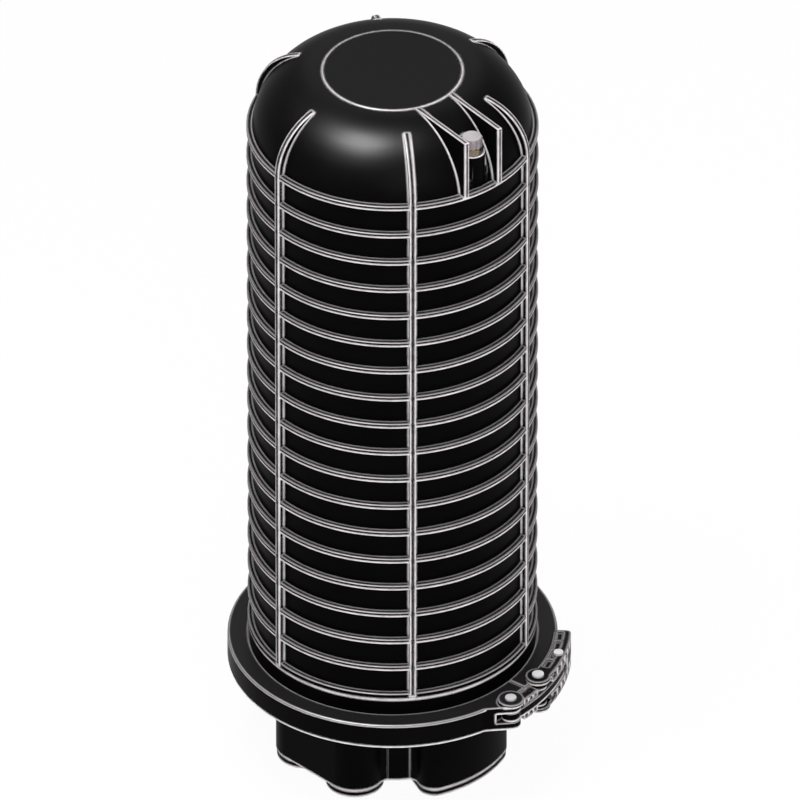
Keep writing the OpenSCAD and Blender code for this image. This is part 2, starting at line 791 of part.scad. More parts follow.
// A moulded tray: floor, rim, spool, splice comb and the clip for its hinge bar
module splice_tray(i) {
  x = tray_x + i * tray_pitch;
  mid_z = tray_z + tray_l / 2;
  color([0.88, 0.89, 0.86])
    difference() {
      union() {
        difference() {
          translate([x, 0, 0])
            tray_block(tray_w, tray_l, tray_d, tray_corner);
          translate([x + tray_t, 0, 0])
            tray_block(tray_w - 2 * tray_t, tray_l - 2 * tray_t, tray_d, tray_corner - tray_t, tray_t);
        }
        // Spools that keep the fibre's bend wide
        for (z = [tray_z + spool_end, tray_z + tray_l - spool_end])
          translate([x, 0, z])
            rotate([0, 90, 0])
              difference() {
                cylinder(r = spool_r, h = tray_d - 1);
                translate([0, 0, tray_t])
                  cylinder(r = spool_r - tray_t, h = tray_d);
              }
        // Comb that holds the splice sleeves
        for (k = [-6:6])
          translate([x, k * 5 - 0.6, mid_z - comb_l / 2])
            cube([tray_d - 3, 1.2, comb_l]);
        translate([x, -6, tray_z - 8])
          cube([tray_d, 12, 9]);
      }
      translate([x + tray_d / 2, 0, hinge_z])
        rotate([90, 0, 0])
          translate([0, 0, -8])
            cylinder(r = hinge_r + 0.1, h = 16);
      translate([x + tray_d / 2 - 1.7, -8, tray_z - 9])
        cube([3.4, 16, 3]);
    }
}

// A flat block with rounded corners, standing on the tray's lower edge
module tray_block(w, l, d, corner, lift = 0)
  translate([0, 0, tray_z + lift])
    rotate([90, 0, 90])
      linear_extrude(d) {
        translate([-w / 2 + corner, 0])
          square([w - 2 * corner, l]);
        translate([-w / 2, corner])
          square([w, l - 2 * corner]);
        for (sx = [-1, 1])
          for (y = [corner, l - corner])
            translate([sx * (w / 2 - corner), y])
              circle(r = corner);
      }

module tray_cover()
  color([0.8, 0.85, 0.88, 0.5])
    translate([tray_x + 3 * tray_pitch + tray_d, 0, 0])
      tray_block(tray_w, tray_l, tray_t, tray_corner);

module tray_strap() {
  strap_t = 1.4;
  depth = 3 * tray_pitch + tray_d + tray_t + tray_x - bracket_x + bracket_d;
  color([0.12, 0.12, 0.14])
    translate([bracket_x - bracket_d, 0, tray_z + tray_l - 60])
      difference() {
        translate([-strap_t, -tray_w / 2 - strap_t, 0])
          cube([depth + 2 * strap_t, tray_w + 2 * strap_t, 20]);
        translate([0, -tray_w / 2, -1])
          cube([depth, tray_w, 22]);
      }
}

// Open basket for spare fibre tubes, hung behind the bracket
module slack_basket() {
  basket_t = 2;
  back = -sqrt(pow(dome_r - dome_t - side_gap, 2) - pow(basket_w / 2, 2));
  depth = bracket_x - bracket_d - back;
  color([0.82, 0.83, 0.8])
    difference() {
      translate([back, -basket_w / 2, tray_z])
        cube([depth, basket_w, basket_h]);
      translate([back + basket_t, -basket_w / 2 + basket_t, tray_z + basket_t])
        cube([depth - 2 * basket_t, basket_w - 2 * basket_t, basket_h]);
      for (k = [-1:1])
        translate([back - 1, k * 0.36 * basket_w - 9, tray_z + 20])
          cube([basket_t + 2, 18, basket_h - 40]);
    }
}

module cable_anchor(i)
  color([0.7, 0.71, 0.73])
    translate([0, 0, joint_z + anchor_h])
      rotate([0, 0, anchor_angles[i]])
        difference() {
          union() {
            translate([anchor_r - 7, -9, 0])
              cube([14, 18, sheet_t]);
            for (s = [-1, 1])
              translate([anchor_r - 7, s * 8 - 1, -4])
                cube([14, 2, 4 + eps]);
          }
          pillar(anchor_screw_r + 0.2, -1, sheet_t + 1, [anchor_r, 0]);
        }

module anchor_screws()
  color([0.75, 0.75, 0.77])
    for (a = anchor_angles) {
      at = polar([anchor_r, a]);
      pillar(anchor_screw_r, joint_z + 3, joint_z + anchor_h + sheet_t + eps, at);
      pillar(4, joint_z + anchor_h + sheet_t, joint_z + anchor_h + sheet_t + 2.6, at);
    }

module earth_stud()
  color([0.78, 0.62, 0.34]) {
    pillar(stud_r, plate_z - nut_h, joint_z + 18, [stud_x, 0]);
    pillar(tail_r, plate_z - nut_h - tail_l, plate_z - nut_h + eps, [stud_x, 0]);
  }

module earth_nuts()
  color([0.78, 0.62, 0.34])
    for (z = [plate_z - nut_h, joint_z, joint_z + nut_h + 0.5])
      translate([stud_x, 0, z])
        difference() {
          cylinder(r = nut_r, h = nut_h, $fn = 6);
          pillar(stud_r + 0.05, -1, nut_h + 1);
        }

base();
base_seal();
dome();
clamp_hoop();
catch_pin();
fulcrum_pin();
link_pin();
latch_lever();
latch_link();
valve_body();
valve_washer();
valve_core();
valve_cap();
for (i = [0:3])
  port_plug(i + 2);
tray_bracket();
bracket_screws();
hinge_block();
for (i = [0:3])
  splice_tray(i);
tray_cover();
tray_strap();
slack_basket();
for (i = [0:3])
  cable_anchor(i);
anchor_screws();
earth_stud();
earth_nuts();
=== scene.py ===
"""Finishes of a dome splice closure: moulded shells with rounded edges, metals, rubbers and trays."""
import json
import math

import bmesh
import bpy
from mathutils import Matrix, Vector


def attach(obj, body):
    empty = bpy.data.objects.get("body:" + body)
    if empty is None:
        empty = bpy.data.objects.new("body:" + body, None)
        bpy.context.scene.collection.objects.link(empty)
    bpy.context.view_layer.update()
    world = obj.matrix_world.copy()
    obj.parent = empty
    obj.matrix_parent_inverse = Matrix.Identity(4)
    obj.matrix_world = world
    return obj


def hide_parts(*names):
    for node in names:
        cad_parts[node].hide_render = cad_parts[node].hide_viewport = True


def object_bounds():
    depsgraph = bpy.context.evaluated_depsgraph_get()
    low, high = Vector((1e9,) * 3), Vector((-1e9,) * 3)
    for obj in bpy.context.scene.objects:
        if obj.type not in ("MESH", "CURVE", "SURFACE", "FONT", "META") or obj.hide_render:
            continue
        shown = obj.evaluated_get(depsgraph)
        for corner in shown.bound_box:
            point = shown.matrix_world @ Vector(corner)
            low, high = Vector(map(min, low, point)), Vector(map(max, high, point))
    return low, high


bl_info = {
    "name": "Dome Splice Closure",
    "version": (1, 0, 0),
    "blender": (4, 5, 0),
    "location": "View3D > Sidebar > Closure",
    "description": "Rounds and finishes the mouldings, metals and rubbers of a dome splice closure",
    "category": "Object",
}

MM = 0.001

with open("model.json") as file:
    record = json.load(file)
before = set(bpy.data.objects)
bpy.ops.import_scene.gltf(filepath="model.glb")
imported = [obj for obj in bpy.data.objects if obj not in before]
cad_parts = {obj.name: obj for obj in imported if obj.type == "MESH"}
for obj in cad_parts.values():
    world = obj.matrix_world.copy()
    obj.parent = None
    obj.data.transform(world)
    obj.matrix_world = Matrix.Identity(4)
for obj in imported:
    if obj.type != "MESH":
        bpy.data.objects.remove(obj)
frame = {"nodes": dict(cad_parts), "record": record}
NODES = frame["nodes"]
BODY_OF = {
    node: body
    for body, members in frame["record"]["behaviour"]["bodies"].items()
    for node in members
}
CAD_LOW, CAD_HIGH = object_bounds()
CROWN_TO_RINGS = 37 * MM  # from the crown down to just above the first ring
LOBE_MIN_HEIGHT = 40 * MM  # the corners beside the port lobes are taller than this
CORE_MIN_R = 55 * MM  # and farther from the axis than this
CORNER_SINK = 0.5 * MM  # how far a corner strip is sunk into its walls


# ---------------------------------------------------------------- sizes and colours


class MouldingSettings(bpy.types.PropertyGroup):
    """Sizes and colours of the black moulded pieces."""

    dome_colour: bpy.props.FloatVectorProperty(
        name="Dome Colour", description="Colour of the dome's plastic",
        default=(0.0009, 0.0009, 0.0010), size=3, subtype="COLOR", min=0, max=1)
    base_colour: bpy.props.FloatVectorProperty(
        name="Base Colour", description="Colour of the base's plastic",
        default=(0.0009, 0.0009, 0.0010), size=3, subtype="COLOR", min=0, max=1)
    hoop_colour: bpy.props.FloatVectorProperty(
        name="Hoop Colour", description="Colour of the glass-filled hoop and latch",
        default=(0.0011, 0.0011, 0.0012), size=3, subtype="COLOR", min=0, max=1)
    # Painted highlight, partly rubbed wear: the edge colour and reach below paint pale bands along the mouldings'
    # convex and concave corners, standing in for edges catching the light.
    edge_wear_and_highlight_colour: bpy.props.FloatVectorProperty(
        name="Edge Colour", description="Colour of the rubbed, burnished edges",
        default=(0.64, 0.605, 0.62), size=3, subtype="COLOR", min=0, max=1)
    edge_reach: bpy.props.FloatProperty(
        name="Rubbed Width", description="How far the rubbed colour reaches from a corner",
        default=2.2 * MM, min=0.2 * MM, max=4 * MM, unit="LENGTH")
    # Painted highlight: the rings' upper corners are painted duller, and the bands on corners that lean down are
    # painted wider.
    upper_share: bpy.props.FloatProperty(
        name="Upper Corners", description="Brightness of the rings' upper corners beside the lower ones",
        default=0.42, min=0, max=1)
    lower_bias: bpy.props.FloatProperty(
        name="Lower Bias", description="How much wider the rubbed band is on corners that lean down",
        default=0.35, min=0, max=0.5)
    shoulder_height: bpy.props.FloatProperty(
        name="Shoulder Height", description="Height at which the rings end and the shoulder begins",
        default=CAD_HIGH.z - CROWN_TO_RINGS, min=0.1, max=0.6, unit="LENGTH")
    film: bpy.props.FloatProperty(
        name="Film", description="Sheen of the thin dust film on the mouldings",
        default=0.04, min=0, max=1)
    # Painted light from above, partly settled dust: the hoop's upward faces are painted this lighter colour.
    dust_and_top_light_colour: bpy.props.FloatVectorProperty(
        name="Dust Colour", description="Colour of the dust settled on the hoop's upward faces",
        default=(0.0145, 0.0140, 0.0145), size=3, subtype="COLOR", min=0, max=1)
    dome_edge: bpy.props.FloatProperty(
        name="Dome Edge Radius", description="Radius on the dome's outer edges",
        default=0.40 * MM, min=0.1 * MM, max=0.8 * MM, unit="LENGTH")
    base_edge: bpy.props.FloatProperty(
        name="Base Edge Radius", description="Radius on the base's outer edges",
        default=0.35 * MM, min=0.1 * MM, max=0.8 * MM, unit="LENGTH")
    hoop_edge: bpy.props.FloatProperty(
        name="Hoop Edge Radius", description="Radius on the hoop's outer edges",
        default=0.40 * MM, min=0.1 * MM, max=0.8 * MM, unit="LENGTH")
    latch_edge: bpy.props.FloatProperty(
        name="Latch Edge Radius", description="Radius on the lever's and the link's edges",
        default=0.30 * MM, min=0.1 * MM, max=0.5 * MM, unit="LENGTH")
    fillet_reach: bpy.props.FloatProperty(
        name="Fillet Reach", description="How far the base's corner fillets run along each wall",
        default=3.2 * MM, min=1 * MM, max=6 * MM, unit="LENGTH")
    sharp_angle: bpy.props.FloatProperty(
        name="Sharp Angle", description="Corners turning more than this are rounded",
        default=math.radians(30), min=math.radians(10), max=math.radians(80), subtype="ANGLE")


class StageSettings(bpy.types.PropertyGroup):
    """Floor, light and camera."""

    azimuth: bpy.props.FloatProperty(
        name="Azimuth", description="Direction the camera stands in, round the closure",
        default=math.radians(45), subtype="ANGLE")
    elevation: bpy.props.FloatProperty(
        name="Elevation", description="Height of the camera above the horizon",
        default=math.atan(math.sqrt(0.5)), subtype="ANGLE")
    lens: bpy.props.FloatProperty(
        name="Lens", description="Focal length; long, so that upright edges stay parallel",
        default=1600, min=50, max=1700, subtype="DISTANCE_CAMERA")
    field: bpy.props.FloatProperty(
        name="Field Width", description="Width the camera takes in at the closure",
        default=0.4618, min=0.1, max=5, unit="LENGTH")
    aim_side: bpy.props.FloatProperty(
        name="Aim Sideways", description="How far to the right of the closure's axis the camera aims",
        default=0.00433, unit="LENGTH")
    aim_height: bpy.props.FloatProperty(
        name="Aim Height", description="Height the camera aims at",
        default=0.2347, unit="LENGTH")
    floor_size: bpy.props.FloatProperty(
        name="Floor Size", description="Side of the square floor",
        default=60, min=5, max=200, unit="LENGTH")
    key_power: bpy.props.FloatProperty(
        name="Key Power", description="Power of the lamp whose highlight lies on the left shoulder",
        default=600, min=0, unit="POWER")
    fill_power: bpy.props.FloatProperty(
        name="Fill Power", description="Power of the soft lamp in front, on the right",
        default=19, min=0, unit="POWER")
    top_power: bpy.props.FloatProperty(
        name="Top Power", description="Power of the soft lamp overhead",
        default=14, min=0, unit="POWER")
    back_power: bpy.props.FloatProperty(
        name="Back Power", description="Power of the lamp whose sheen lies on the upward faces",
        default=20, min=0, unit="POWER")
    ambient: bpy.props.FloatProperty(
        name="Ambient Level", description="Level of the light from all round",
        default=0.55, min=0, max=1)


# ---------------------------------------------------------------- modelling helpers


def select_only(*pieces):
    """Leaves just these objects selected, the last one active."""
    bpy.ops.object.select_all(action="DESELECT")
    for piece in pieces:
        piece.select_set(True)
        bpy.context.view_layer.objects.active = piece


def merge_flat_faces():
    """Joins the selected mesh's doubled corners and makes its flat faces whole, in edit mode."""
    bpy.ops.mesh.remove_doubles(threshold=0.002 * MM)
    bpy.ops.mesh.dissolve_degenerate(threshold=0.02 * MM)
    bpy.ops.mesh.dissolve_limited(angle_limit=math.radians(0.5))


def moulding_from(node, name):
    """A joined-up copy of a CAD node's mesh, with its flat faces whole, as a new object."""
    source = NODES[node]
    piece = bpy.data.objects.new(name, source.data.copy())
    bpy.context.scene.collection.objects.link(piece)
    piece.data.materials.clear()
    select_only(piece)
    bpy.ops.object.mode_set(mode="EDIT")
    bpy.ops.mesh.select_all(action="SELECT")
    bpy.ops.mesh.customdata_custom_splitnormals_clear()
    merge_flat_faces()
    bpy.ops.object.mode_set(mode="OBJECT")
    return piece


def hollow_corners(piece):
    """The upright concave corners where the port lobes meet the base's core.

    Each is a list: the corner's foot, its top, and for each of its two walls the direction away
    from the corner and the wall's normal.
    """
    shape = bmesh.new()
    shape.from_mesh(piece.data)
    corners = []
    for edge in shape.edges:
        foot, top = sorted((v.co.copy() for v in edge.verts), key=lambda co: co.z)
        if not edge.is_manifold or edge.is_convex or top.z - foot.z < LOBE_MIN_HEIGHT:
            continue
        normals = [face.normal.copy() for face in edge.link_faces]
        outward = all(n.x * foot.x + n.y * foot.y > 0 for n in normals)
        if not outward or edge.calc_face_angle() < math.radians(60) or foot.xy.length < CORE_MIN_R:
            continue
        walls = []
        for face, normal in zip(edge.link_faces, normals):
            along = normal.cross((0, 0, 1))
            if along.dot(face.calc_center_median() - foot) < 0:
                along.negate()
            walls.append((along, normal))
        corners.append((foot, top, walls))
    shape.free()
    return corners


def fill_corners(piece, reach, sink):
    """Fills the upright concave corners with strips that are sunk into both walls."""
    for foot, top, walls in hollow_corners(piece):
        (along_a, out_a), (along_b, out_b) = walls
        outline = [foot - 2 * sink * (out_a + out_b), foot + reach * along_a - sink * out_a,
                   foot + reach * along_b - sink * out_b]
        bpy.ops.mesh.primitive_cylinder_add(vertices=3, radius=reach, depth=top.z - foot.z)
        strip = bpy.context.object
        for vertex in strip.data.vertices:
            corner = outline[vertex.index // 2]
            vertex.co = (corner.x, corner.y, foot.z if vertex.co.z < 0 else top.z + sink)
        bpy.ops.object.mode_set(mode="EDIT")
        bpy.ops.mesh.select_all(action="SELECT")
        bpy.ops.mesh.normals_make_consistent(inside=False)
        bpy.ops.object.mode_set(mode="OBJECT")
        select_only(piece)
        union = piece.modifiers.new("Corner", "BOOLEAN")
        union.operation = "UNION"
        union.solver = "EXACT"
        union.object = strip
        bpy.ops.object.modifier_apply(modifier=union.name)
        bpy.data.objects.remove(strip, do_unlink=True)
    select_only(piece)
    bpy.ops.object.mode_set(mode="EDIT")
    bpy.ops.mesh.select_all(action="SELECT")
    merge_flat_faces()
    bpy.ops.object.mode_set(mode="OBJECT")


def round_edges(piece, radius, sharp_angle):
    """Rounds the outward corners; the rounds take the piece's second material."""
    bpy.ops.object.mode_set(mode="EDIT")
    bpy.ops.mesh.select_mode(type="EDGE")
    bpy.ops.mesh.select_all(action="DESELECT")
    shape = bmesh.from_edit_mesh(piece.data)
    for edge in shape.edges:
        if edge.is_manifold and edge.is_convex and edge.calc_face_angle() > sharp_angle:
            edge.select_set(True)
    bmesh.update_edit_mesh(piece.data)
    bpy.ops.mesh.bevel(
        offset=radius, offset_type="OFFSET", segments=2, profile=0.5, affect="EDGES",
        clamp_overlap=False, material=1, miter_outer="SHARP", miter_inner="SHARP")
    bpy.ops.object.mode_set(mode="OBJECT")
    bpy.ops.object.shade_smooth_by_angle(angle=math.radians(50))
    weighted = piece.modifiers.new("Even Shading", "WEIGHTED_NORMAL")
    weighted.keep_sharp = True
    bpy.ops.object.modifier_apply(modifier=weighted.name)


# ---------------------------------------------------------------- materials


def new_material(name):
    """A material with its node tree, its shader and a coordinate node."""
    material = bpy.data.materials.new(name)
    material.use_nodes = True
    tree = material.node_tree
    shader = tree.nodes["Principled BSDF"]
    coords = tree.nodes.new("ShaderNodeTexCoord")
    return material, tree, shader, coords.outputs["Object"]


def noise(tree, vector, scale, detail=3.0, roughness=0.5):
    """A noise node on the given coordinates; scale is in features per metre."""
    node = tree.nodes.new("ShaderNodeTexNoise")
    node.inputs["Scale"].default_value = scale
    node.inputs["Detail"].default_value = detail
    node.inputs["Roughness"].default_value = roughness
    tree.links.new(vector, node.inputs["Vector"])
    return node.outputs["Fac"]


def ramp(tree, factor, low, high, start=0.3, end=0.7):
    """A two-stop colour ramp from low to high."""
    node = tree.nodes.new("ShaderNodeValToRGB")
    node.color_ramp.elements[0].position = start
    node.color_ramp.elements[1].position = end
    node.color_ramp.elements[0].color = (*low, 1)
    node.color_ramp.elements[1].color = (*high, 1)
    tree.links.new(factor, node.inputs["Fac"])
    return node.outputs["Color"]


def span(tree, factor, low, high):
    """Maps 0..1 to low..high."""
    node = tree.nodes.new("ShaderNodeMapRange")
    node.inputs["To Min"].default_value = low
    node.inputs["To Max"].default_value = high
    tree.links.new(factor, node.inputs["Value"])
    return node.outputs["Result"]


def bump(tree, shader, height, depth, strength=1.0):
    """Raises the surface by height times depth, in metres."""
    node = tree.nodes.new("ShaderNodeBump")
    node.inputs["Strength"].default_value = strength
    node.inputs["Distance"].default_value = depth
    tree.links.new(height, node.inputs["Height"])
    tree.links.new(node.outputs["Normal"], shader.inputs["Normal"])


def shade(colour, share):
    """The colour, lighter or darker by a share."""
    return tuple(min(1.0, c * share) for c in colour[:3])


def height_of(tree, vector):
    """The upward part of a vector."""
    parts = tree.nodes.new("ShaderNodeSeparateXYZ")
    tree.links.new(vector, parts.inputs[0])
    return parts.outputs["Z"]


def sum_of(tree, term, factor, other):
    """term * factor + other, each a number or an output."""
    node = tree.nodes.new("ShaderNodeMath")
    node.operation = "MULTIPLY_ADD"
    for value, socket in zip((term, factor, other), node.inputs):
        if isinstance(value, float):
            socket.default_value = value
        else:
            tree.links.new(value, socket)
    return node.outputs["Value"]


def corner_mask(tree, reach, lower_bias):
    """1 close to a corner, fading to 0: how far a rounded normal leans from the true one.

    The bias widens the band on corners that lean down. The rounded normal, which says which way
    the corner faces, is given too.
    """
    rounded = tree.nodes.new("ShaderNodeBevel")
    rounded.samples = 8
    rounded.inputs["Radius"].default_value = reach
    true = tree.nodes.new("ShaderNodeNewGeometry")
    lean = tree.nodes.new("ShaderNodeVectorMath")
    lean.operation = "DOT_PRODUCT"
    tree.links.new(rounded.outputs["Normal"], lean.inputs[0])
    tree.links.new(true.outputs["Normal"], lean.inputs[1])
    mask = tree.nodes.new("ShaderNodeMapRange")
    mask.inputs["From Min"].default_value = 0.995
    mask.inputs["From Max"].default_value = 0.965
    risen = sum_of(tree, height_of(tree, true.outputs["Normal"]), -lower_bias, lean.outputs["Value"])
    risen = sum_of(tree, height_of(tree, rounded.outputs["Normal"]), lower_bias, risen)
    tree.links.new(risen, mask.inputs["Value"])
    return mask.outputs["Result"], rounded.outputs["Normal"]


def upward(tree, normal):
    """1 where the normal points up, 0 where it is level or points down."""
    mask = tree.nodes.new("ShaderNodeMapRange")
    mask.inputs["From Min"].default_value = 0.06
    mask.inputs["From Max"].default_value = 0.25
    tree.links.new(height_of(tree, normal), mask.inputs["Value"])
    return mask.outputs["Result"]


def below(tree, at, height):
    """1 below a height, 0 above it."""
    lower = tree.nodes.new("ShaderNodeMath")
    lower.operation = "LESS_THAN"
    lower.inputs[1].default_value = height
    tree.links.new(height_of(tree, at), lower.inputs[0])
    return lower.outputs["Value"]


def worn_and_highlight_colour(tree, at, normal, settings):
    """Pale corner colour, a painted highlight that is partly rubbed wear: pale and uneven, and painted duller on
    the rings' upper corners below the shoulder.
    """
    pale = settings.edge_wear_and_highlight_colour
    wear_and_highlight = ramp(tree, noise(tree, at, 160, 5, 0.6), shade(pale, 0.8), shade(pale, 1.08), 0.35, 0.6)
    # Painted highlight: corners that face up below the shoulder height are painted duller than the others.
    settled = tree.nodes.new("ShaderNodeMath")
    settled.operation = "MULTIPLY"
    tree.links.new(upward(tree, normal), settled.inputs[0])
    tree.links.new(below(tree, at, settings.shoulder_height), settled.inputs[1])
    return mixed(tree, settled.outputs["Value"], wear_and_highlight, shade(pale, settings.upper_share))


def mixed(tree, factor, low, high):
    """A colour between two others; each is a colour or an output."""
    node = tree.nodes.new("ShaderNodeMix")
    node.data_type = "RGBA"
    tree.links.new(factor, node.inputs[0])
    for value, socket in ((low, node.inputs[6]), (high, node.inputs[7])):
        if isinstance(value, tuple):
            socket.default_value = (*value, 1)
        else:
            tree.links.new(value, socket)
    return node.outputs[2]


def moulded_plastic(name, colour, settings, dust=None, gloss=0.38, grain=0.5 * MM):
    """Moulded plastic: fine grain, flow marks, uneven gloss, a film of dust, and corners painted pale, a painted
    highlight that is partly rubbed wear.

    With a dust colour, the faces that point up are painted lighter: settled dust and painted light from above.
    """
    material, tree, shader, at = new_material(name)
    flow = noise(tree, at, 22, 4)
    fine = noise(tree, at, 1 / grain, 2)
    plain = ramp(tree, flow, shade(colour, 0.75), shade(colour, 1.35))
    # Painted light from above, partly settled dust: faces that point up are painted the lighter dust colour.
    if dust:
        true = tree.nodes.new("ShaderNodeNewGeometry")
        plain = mixed(tree, upward(tree, true.outputs["Normal"]), plain, shade(dust, 1))
    # Painted highlight, partly wear: a pale band is painted along every convex and concave corner.
    corner, rounded = corner_mask(tree, settings.edge_reach, settings.lower_bias)
    wear_and_highlight = worn_and_highlight_colour(tree, at, rounded, settings)
    tree.links.new(mixed(tree, corner, plain, wear_and_highlight), shader.inputs["Base Color"])
    tree.links.new(span(tree, flow, gloss - 0.06, gloss + 0.06), shader.inputs["Roughness"])
    shader.inputs["Specular IOR Level"].default_value = 0.016
    shader.inputs["Sheen Weight"].default_value = settings.film
    shader.inputs["Sheen Roughness"].default_value = 0.12
    bump(tree, shader, fine, 0.006 * MM, 0.5)
    return material


def worn_and_highlight_edge(name, settings):
    """Edge rounds painted pale, a painted highlight that is partly wear from handling: smooth, and uneven along
    their length.
    """
    material, tree, shader, at = new_material(name)
    true = tree.nodes.new("ShaderNodeNewGeometry")
    tree.links.new(worn_and_highlight_colour(tree, at, true.outputs["Normal"], settings), shader.inputs["Base Color"])
    tree.links.new(span(tree, noise(tree, at, 160, 5, 0.6), 0.5, 0.34), shader.inputs["Roughness"])
    shader.inputs["Specular IOR Level"].default_value = 0.15
    bump(tree, shader, noise(tree, at, 1500, 2), 0.004 * MM, 0.4)
    return material


def rubber(name, colour):
    """Matt rubber with bloom and a fine moulded grain."""
    material, tree, shader, at = new_material(name)
    bloom = noise(tree, at, 60, 4)
    tree.links.new(ramp(tree, bloom, shade(colour, 0.7), shade(colour, 1.3)), shader.inputs["Base Color"])
    tree.links.new(span(tree, bloom, 0.7, 0.9), shader.inputs["Roughness"])
    bump(tree, shader, noise(tree, at, 12000, 3), 0.01 * MM, 0.5)
    return material


def stretched(tree, at, scale):
    """Coordinates stretched along one way, for brushed and turned marks."""
    node = tree.nodes.new("ShaderNodeMapping")
    node.inputs["Scale"].default_value = scale
    tree.links.new(at, node.inputs["Vector"])
    return node.outputs["Vector"]


def turned_metal(name, colour, gloss=0.25, metallic=1.0):
    """Turned or plated metal with fine tool marks round it; a matt plating is less metallic."""
    material, tree, shader, at = new_material(name)
    marks = noise(tree, stretched(tree, at, (60, 60, 5000)), 1, 2)
    tarnish = noise(tree, at, 120, 4)
    tree.links.new(ramp(tree, tarnish, shade(colour, 0.8), shade(colour, 1.08)), shader.inputs["Base Color"])
    tree.links.new(span(tree, marks, gloss - 0.06, gloss + 0.1), shader.inputs["Roughness"])
    shader.inputs["Metallic"].default_value = metallic
    bump(tree, shader, marks, 0.005 * MM, 0.4)
    return material


def sheet_metal(name, colour):
    """Galvanised sheet: spangle in colour and gloss, light rolling marks."""
    material, tree, shader, at = new_material(name)
    spangle = tree.nodes.new("ShaderNodeTexVoronoi")
    spangle.inputs["Scale"].default_value = 220
    tree.links.new(at, spangle.inputs["Vector"])
    tree.links.new(ramp(tree, spangle.outputs["Distance"], shade(colour, 0.85), shade(colour, 1.05)),
                   shader.inputs["Base Color"])
    rolled = noise(tree, stretched(tree, at, (2500, 2500, 40)), 1, 2)
    tree.links.new(span(tree, rolled, 0.3, 0.45), shader.inputs["Roughness"])
    shader.inputs["Metallic"].default_value = 1
    bump(tree, shader, rolled, 0.004 * MM, 0.4)
    return material


def tray_plastic(name, colour):
    """Pale moulded plastic with a soft gloss."""
    material, tree, shader, at = new_material(name)
    flow = noise(tree, at, 35, 4)
    tree.links.new(ramp(tree, flow, shade(colour, 0.93), shade(colour, 1.03)), shader.inputs["Base Color"])
    tree.links.new(span(tree, flow, 0.35, 0.5), shader.inputs["Roughness"])
    bump(tree, shader, noise(tree, at, 1400, 2), 0.004 * MM, 0.4)
    return material


def clear_plastic(name, colour):
    """Clear sheet with faint ripples and scuffs."""
    material, tree, shader, at = new_material(name)
    scuff = noise(tree, at, 300, 5)
    tree.links.new(ramp(tree, scuff, shade(colour, 0.96), shade(colour, 1.05)), shader.inputs["Base Color"])
    tree.links.new(span(tree, scuff, 0.05, 0.18), shader.inputs["Roughness"])
    shader.inputs["Transmission Weight"].default_value = 0.85
    bump(tree, shader, noise(tree, at, 40, 2), 0.02 * MM, 0.3)
    return material


def webbing(name, colour):
    """Woven hook-and-loop tape: a fine cross weave."""
    material, tree, shader, at = new_material(name)
    weave = []
    for turned in ((1400, 0, 1400), (0, 1400, 0)):
        wave = tree.nodes.new("ShaderNodeTexWave")
        wave.inputs["Scale"].default_value = 1
        tree.links.new(stretched(tree, at, turned), wave.inputs["Vector"])
        weave.append(wave.outputs["Fac"])
    cross = tree.nodes.new("ShaderNodeMath")
    cross.operation = "MULTIPLY"
    tree.links.new(weave[0], cross.inputs[0])
    tree.links.new(weave[1], cross.inputs[1])
    tree.links.new(ramp(tree, cross.outputs["Value"], shade(colour, 0.6), shade(colour, 1.6)),
                   shader.inputs["Base Color"])
    tree.links.new(span(tree, cross.outputs["Value"], 0.95, 0.8), shader.inputs["Roughness"])
    bump(tree, shader, cross.outputs["Value"], 0.15 * MM, 0.6)
    return material


def record_colour(slot):
    """A material slot's colour in the record."""
    for entry in frame["record"]["materials"]:
        if entry["slot"] == slot:
            return tuple(entry["base_color"][:3])
    raise ValueError(f"no material slot {slot}")


def finish_nodes(material, *names):
    """Gives CAD nodes their finish; their shapes stay as they are."""
    for name in names:
        mesh = NODES[name].data
        mesh.materials.clear()
        mesh.materials.append(material)


def dress_moulding(node, name, colour, radius, settings, dust=None, fillet=0):
    """Replaces a CAD moulding with the same shape, its edges rounded and painted pale: painted highlights, partly
    rubbed wear.
    """
    piece = moulding_from(node, name)
    if fillet:
        fill_corners(piece, fillet, CORNER_SINK)
    piece.data.materials.append(moulded_plastic(name + "_plastic", colour, settings, dust))
    piece.data.materials.append(worn_and_highlight_edge(name + "_edges", settings))
    round_edges(piece, radius, settings.sharp_angle)
    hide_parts(node)
    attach(piece, BODY_OF[node])
    return piece


# ---------------------------------------------------------------- operators


class CLOSURE_OT_dome(bpy.types.Operator):
    """Make the ribbed dome's moulding with rounded rings, ribs and fins"""

    bl_idname = "closure.dome"
    bl_label = "Dome"

    def execute(self, context):
        s = context.scene.closure_moulding
        dress_moulding("dome", "dome_moulding", s.dome_colour, s.dome_edge, s)
        return {"FINISHED"}


class CLOSURE_OT_base(bpy.types.Operator):
    """Make the ported base's moulding"""

    bl_idname = "closure.base"
    bl_label = "Base"

    def execute(self, context):
        s = context.scene.closure_moulding
        dress_moulding("base", "base_moulding", s.base_colour, s.base_edge, s,
                       fillet=s.fillet_reach)
        return {"FINISHED"}


class CLOSURE_OT_hoop(bpy.types.Operator):
    """Make the V-section clamp hoop"""

    bl_idname = "closure.hoop"
    bl_label = "Clamp Hoop"

    def execute(self, context):
        s = context.scene.closure_moulding
        # The hoop's upward faces are painted lighter: painted light from above, partly settled dust.
        dress_moulding("clamp_hoop", "hoop_moulding", s.hoop_colour, s.hoop_edge, s,
                       s.dust_and_top_light_colour)
        return {"FINISHED"}


class CLOSURE_OT_latch(bpy.types.Operator):
    """Make the latch's lever and link"""

    bl_idname = "closure.latch"
    bl_label = "Latch"

    def execute(self, context):
        s = context.scene.closure_moulding
        dress_moulding("latch_lever", "lever_moulding", s.hoop_colour, s.latch_edge, s)
        dress_moulding("latch_link", "link_moulding", s.hoop_colour, s.latch_edge, s)
        return {"FINISHED"}


